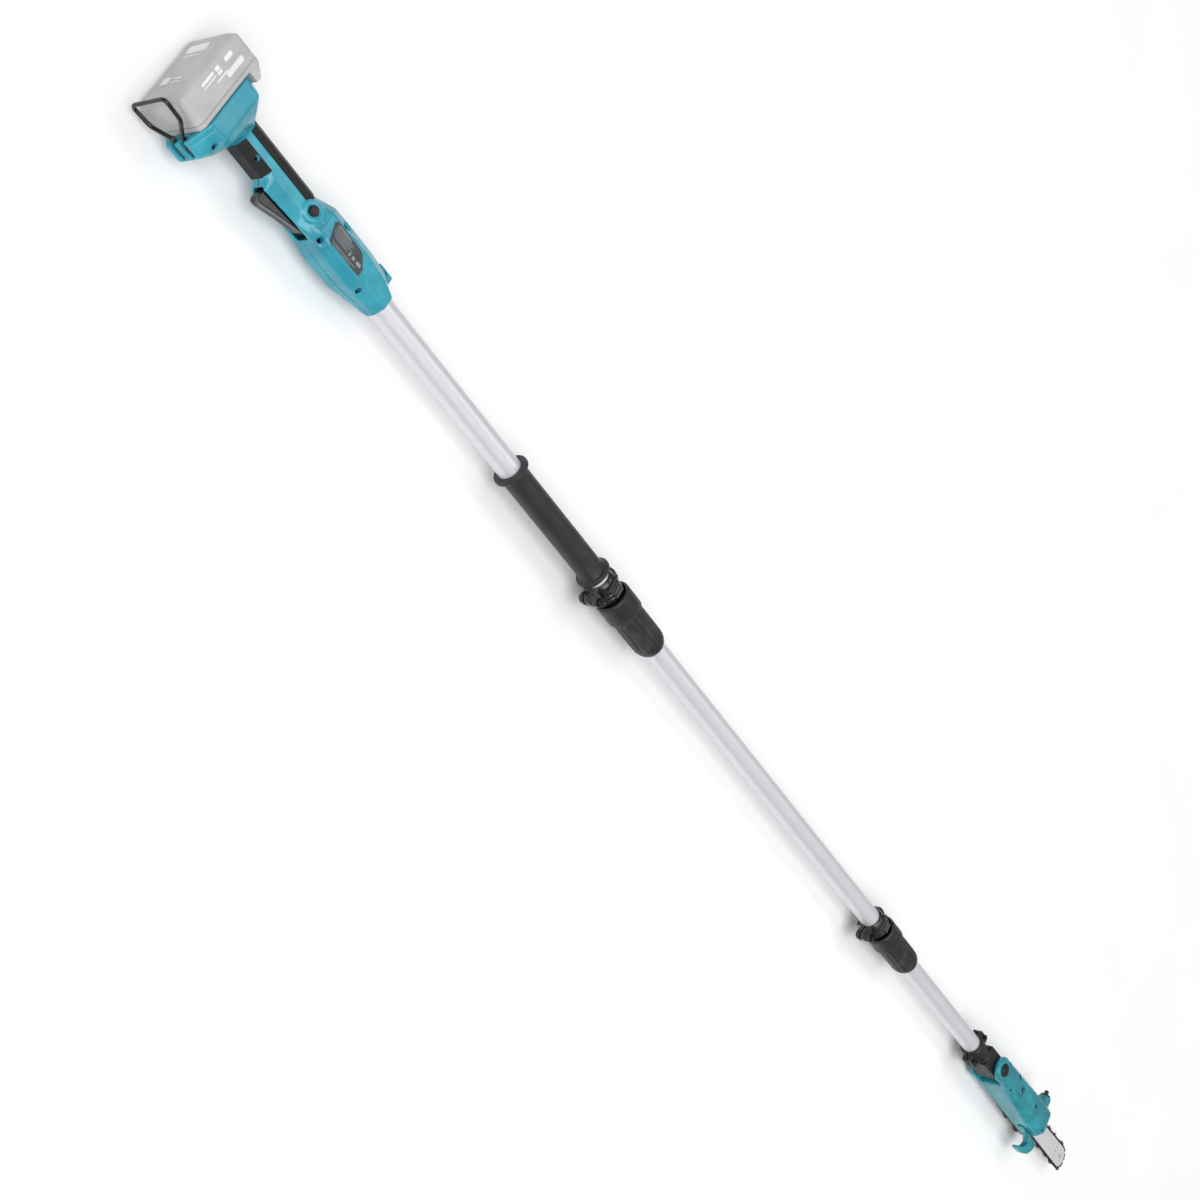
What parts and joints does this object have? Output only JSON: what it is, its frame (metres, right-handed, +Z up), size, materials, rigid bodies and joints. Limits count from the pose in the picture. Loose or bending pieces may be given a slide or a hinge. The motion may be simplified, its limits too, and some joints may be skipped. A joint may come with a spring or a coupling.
{
  "type": "pole saw",
  "caption": "Long take-apart battery pole saw: trigger handle with slide-in battery, tubes joined by clamps with screw collars, and a tilting chainsaw head with a branch hook.",
  "frame": {"origin": "centre of the footprint, on the surface the tool lies on", "axes": "+X along the pole from the handle to the saw, +Y towards the top of the handle (away from the trigger), +Z up, out of the tool's right side, while the tool lies on its left side"},
  "size_m": [2.7152, 0.1316, 0.08],
  "materials": {
    "housing": "semi-gloss moulded",
    "cover": "moulded, fine grain",
    "screw_steel": "plated",
    "pin_steel": "ground",
    "spring_steel": "bright wire",
    "motor_steel": "laminated",
    "plate_steel": "pressed",
    "bearing_steel": "ground",
    "gear_steel": "machined",
    "grip_rubber": "soft matte",
    "foam_grip": "matte",
    "black_plastic": "gloss",
    "trigger_plastic": "gloss",
    "board": "laminate",
    "label": "printed film",
    "tube": "satin anodised",
    "clamp": "gloss",
    "collar": "matte",
    "cable": "smooth",
    "button": "matte",
    "loop_wire": "gloss coat",
    "battery": "satin moulded",
    "cells": "sleeved",
    "tank": "natural moulded",
    "bar": "ground",
    "chain": "dark hardened",
    "knob": "moulded"
  },
  "bodies": {
    "handle": {"handle_shell_right": "housing", "handle_shell_left": "housing", "handle_screws": "screw_steel", "grip_pad_lower": "grip_rubber", "grip_pad_upper": "grip_rubber", "terminal_block": "black_plastic", "switch_module": "black_plastic", "controller_board": "board", "trigger_pin": "pin_steel", "trigger_spring": "spring_steel", "lockoff_spring": "spring_steel", "loop_pin": "pin_steel", "rating_plate": "label", "rear_tube": "tube", "front_grip": "foam_grip", "coupler_1": "clamp", "coupler_1_screw": "screw_steel", "cable_rear": "cable"},
    "trigger": {"trigger_lever": "trigger_plastic"},
    "lock_off": {"lock_off_button": "button"},
    "loop": {"hanging_loop": "loop_wire"},
    "battery": {"battery_case": "battery", "battery_cover": "battery", "battery_cells": "cells"},
    "battery_button": {"battery_release_button": "button"},
    "middle_section": {"middle_tube": "tube", "coupler_2": "clamp", "coupler_2_screw": "screw_steel", "cable_middle": "cable"},
    "lock_collar_1": {"collar_1": "collar"},
    "front_section": {"front_tube": "tube", "neck": "clamp", "neck_screws": "screw_steel", "cable_front": "cable"},
    "lock_collar_2": {"collar_2": "collar"},
    "head": {"head_shell_right": "housing", "head_shell_left": "housing", "head_screws": "screw_steel", "sprocket_cover": "cover", "pivot_bolt": "pin_steel", "pivot_caps": "black_plastic", "motor_stator": "motor_steel", "gear_plate": "plate_steel", "sprocket_bearings": "bearing_steel", "oil_tank": "tank", "guide_bar": "bar", "saw_chain": "chain", "bar_stud": "pin_steel", "branch_hook": "housing"},
    "rotor": {"motor_rotor": "motor_steel", "motor_pinion": "gear_steel"},
    "sprocket": {"spur_gear": "gear_steel", "sprocket_shaft": "pin_steel", "drive_sprocket": "gear_steel"},
    "cover_knob": {"cover_knob": "knob"},
    "tension_knob": {"tension_knob": "knob"},
    "oil_cap": {"oil_cap": "knob"}
  },
  "joints": [
    {"name": "trigger_pull", "type": "hinge", "parent": "handle", "child": "trigger", "pos_m": [-1.12795, -0.00775, 0.04], "axis": [0, 0, -1], "range_deg": [0, 7.5], "stiffness_Nm_per_rad": 0.5, "springref_deg": -17.19},
    {"name": "lock_off_press", "type": "slide", "parent": "handle", "child": "lock_off", "axis": [0, 0, -1], "range_m": [0, 0.003], "stiffness_N_per_m": 400, "springref_m": -0.004},
    {"name": "battery_slide", "type": "slide", "parent": "handle", "child": "battery", "axis": [0, 1, 0], "range_m": [0, 0.112]},
    {"name": "battery_release", "type": "slide", "parent": "battery", "child": "battery_button", "axis": [-1, 0, 0], "range_m": [0, 0.0035], "stiffness_N_per_m": 500, "springref_m": -0.003},
    {"name": "loop_fold", "type": "hinge", "parent": "handle", "child": "loop", "pos_m": [-1.29095, -0.05875, 0.04], "axis": [0, 0, 1], "range_deg": [0, 90]},
    {"name": "section_1_slide", "type": "slide", "parent": "handle", "child": "middle_section", "axis": [1, 0, 0], "range_m": [0, 0.06]},
    {"name": "collar_1_turn", "type": "hinge", "parent": "middle_section", "child": "lock_collar_1", "pos_m": [-0.37495, 0.00625, 0.04], "axis": [1, 0, 0], "range_deg": [0, 540]},
    {"name": "section_2_slide", "type": "slide", "parent": "middle_section", "child": "front_section", "axis": [1, 0, 0], "range_m": [0, 0.06]},
    {"name": "collar_2_turn", "type": "hinge", "parent": "front_section", "child": "lock_collar_2", "pos_m": [0.51705, 0.00625, 0.04], "axis": [1, 0, 0], "range_deg": [0, 540]},
    {"name": "head_tilt", "type": "hinge", "parent": "front_section", "child": "head", "pos_m": [0.94305, 0.00625, 0.04], "axis": [0, 0, 1], "range_deg": [-60, 30]},
    {"name": "rotor_spin", "type": "hinge", "parent": "head", "child": "rotor", "pos_m": [1.04205, 0.00825, 0.04], "axis": [0, 0, 1], "continuous": true},
    {"name": "sprocket_spin", "type": "hinge", "parent": "head", "child": "sprocket", "pos_m": [1.07505, 0.00925, 0.04], "axis": [0, 0, 1], "continuous": true},
    {"name": "cover_knob_turn", "type": "hinge", "parent": "head", "child": "cover_knob", "pos_m": [1.12705, 0.00925, 0.007], "axis": [0, 0, -1], "range_deg": [0, 720]},
    {"name": "tension_knob_turn", "type": "hinge", "parent": "head", "child": "tension_knob", "pos_m": [1.18205, -0.00175, 0.007], "axis": [0, 0, -1], "range_deg": [-180, 180]},
    {"name": "oil_cap_turn", "type": "hinge", "parent": "head", "child": "oil_cap", "pos_m": [1.15305, 0.05625, 0.052], "axis": [0, 1, 0], "range_deg": [0, 360]}
  ],
  "couplings": [
    {"joint": "sprocket_spin", "follows": "rotor_spin", "ratio": -0.26316}
  ]
}
